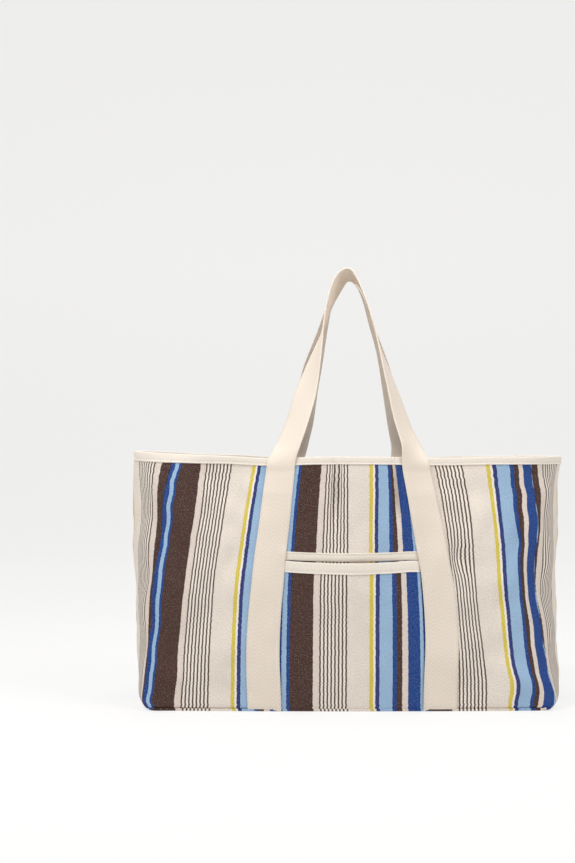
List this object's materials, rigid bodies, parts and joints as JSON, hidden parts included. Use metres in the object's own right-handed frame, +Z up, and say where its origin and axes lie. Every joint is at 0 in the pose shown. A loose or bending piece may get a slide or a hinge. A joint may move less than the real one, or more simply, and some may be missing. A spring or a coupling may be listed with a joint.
{
  "type": "tote bag",
  "caption": "Large open-topped striped canvas tote with gusset ends, bound rim, front patch pocket and webbing loop handles that fold down over its sides.",
  "frame": {"origin": "middle of the base, on the surface that the bag stands on", "axes": "+X to the bag's right-hand end seen from the pocket side, -Y out of the pocket side, +Z up"},
  "size_m": [0.778, 0.2896, 0.7795],
  "materials": {
    "canvas": "woven cotton canvas with blue, brown, yellow and undyed stripes",
    "tape": "undyed cotton twill tape",
    "webbing": "undyed cotton herringbone webbing"
  },
  "bodies": {
    "bag": {"base_panel": "canvas", "base_edge": "canvas", "front_panel": "canvas", "back_panel": "canvas", "left_gusset": "canvas", "right_gusset": "canvas", "rim_binding_left": "tape", "rim_binding_right": "tape", "pocket_panel": "canvas", "pocket_binding": "tape", "pocket_facing": "tape", "front_strap_left": "webbing", "front_strap_right": "webbing", "back_strap_left": "webbing", "back_strap_right": "webbing", "seam_front_left": "tape", "seam_front_right": "tape", "seam_back_left": "tape", "seam_back_right": "tape"},
    "front_loop": {"front_handle": "webbing"},
    "back_loop": {"back_handle": "webbing"}
  },
  "joints": [
    {"name": "front_loop_fold", "type": "hinge", "parent": "bag", "child": "front_loop", "pos_m": [0, -0.12475, 0.4432], "axis": [1, 0, 0], "range_deg": [0, 165]},
    {"name": "back_loop_fold", "type": "hinge", "parent": "bag", "child": "back_loop", "pos_m": [0, 0.12475, 0.4432], "axis": [-1, 0, 0], "range_deg": [0, 165]}
  ]
}
